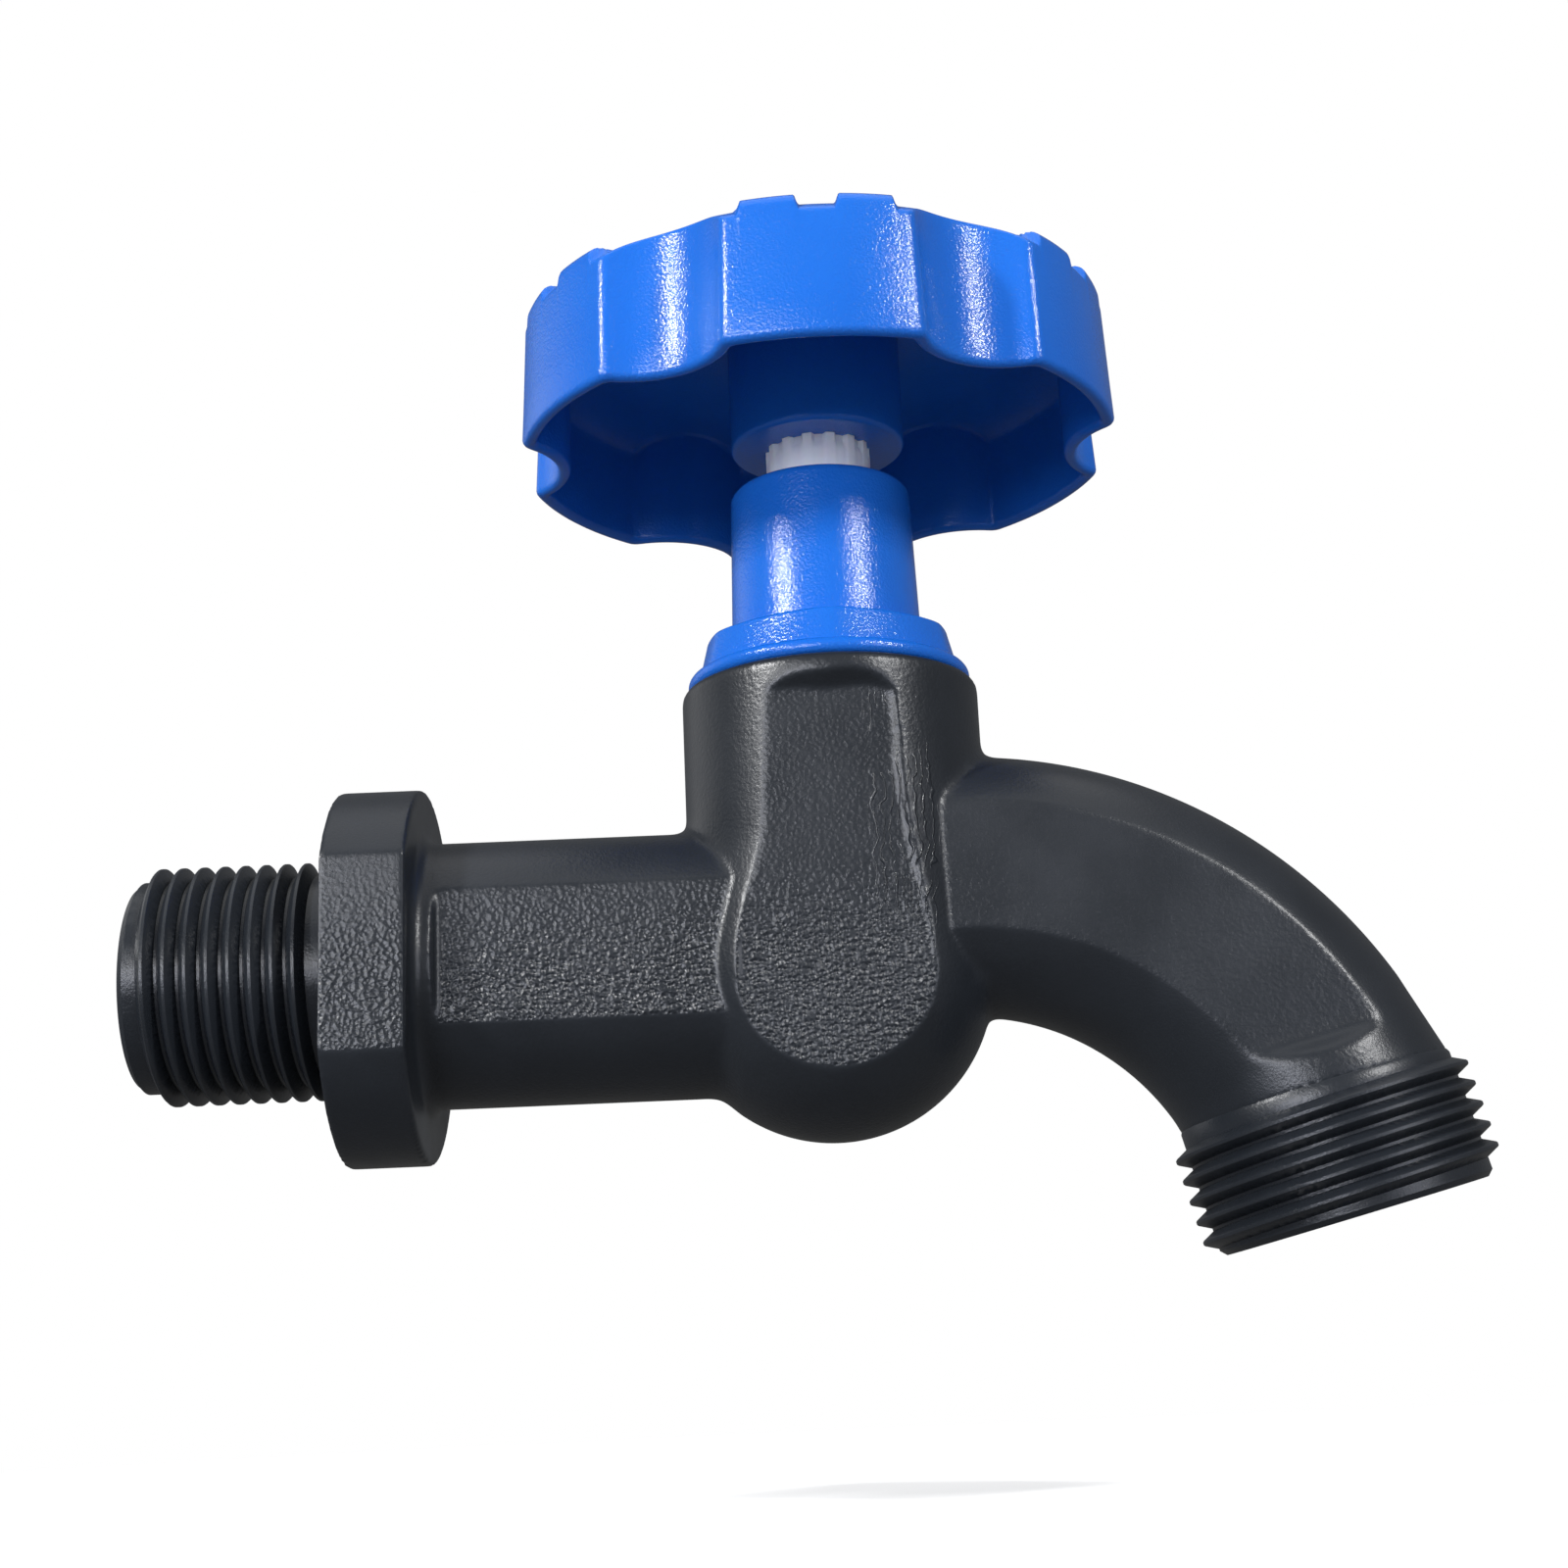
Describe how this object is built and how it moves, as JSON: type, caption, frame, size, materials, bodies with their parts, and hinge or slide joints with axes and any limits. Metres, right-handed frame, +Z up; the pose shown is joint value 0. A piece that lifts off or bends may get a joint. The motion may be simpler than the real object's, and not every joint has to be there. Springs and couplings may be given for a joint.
{
  "type": "garden tap",
  "caption": "Plastic screw-down garden tap: male inlet, two-flat flange, upright valve chamber, curved spout with a male hose thread and a lobed handwheel.",
  "frame": {"origin": "centre of the flange's seating face, on the inlet axis", "axes": "+X from the inlet towards the spout, +Z up along the valve's axis, +Y to the back; the picture looks along +Y"},
  "size_m": [0.117, 0.0554, 0.0881],
  "materials": {
    "body_plastic": "moulded, fine leathery grain",
    "blue_plastic": "moulded, satin gloss",
    "white_plastic": "moulded, slightly translucent",
    "seal_rubber": "moulded",
    "brass": "turned",
    "steel": "turned, bright"
  },
  "bodies": {
    "body": {"tap_body": "body_plastic", "bonnet": "blue_plastic", "bonnet_o_ring": "seal_rubber"},
    "valve": {"valve_plug": "brass", "valve_washer": "seal_rubber", "washer_screw": "brass"},
    "wheel": {"spindle": "white_plastic", "spindle_o_ring_lower": "seal_rubber", "spindle_o_ring_upper": "seal_rubber", "handwheel": "blue_plastic", "wheel_screw_washer": "steel", "wheel_screw": "steel", "wheel_cap": "blue_plastic"}
  },
  "joints": [
    {"name": "valve_lift", "type": "slide", "parent": "body", "child": "valve", "axis": [0, 0, 1], "range_m": [0, 0.00375]},
    {"name": "wheel_turn", "type": "hinge", "parent": "valve", "child": "wheel", "pos_m": [0.0436, 0, 0.05], "axis": [0, 0, 1], "range_deg": [0, 540]}
  ],
  "couplings": [
    {"joint": "valve_lift", "follows": "wheel_turn", "m_per_rad": 0.00039789}
  ]
}
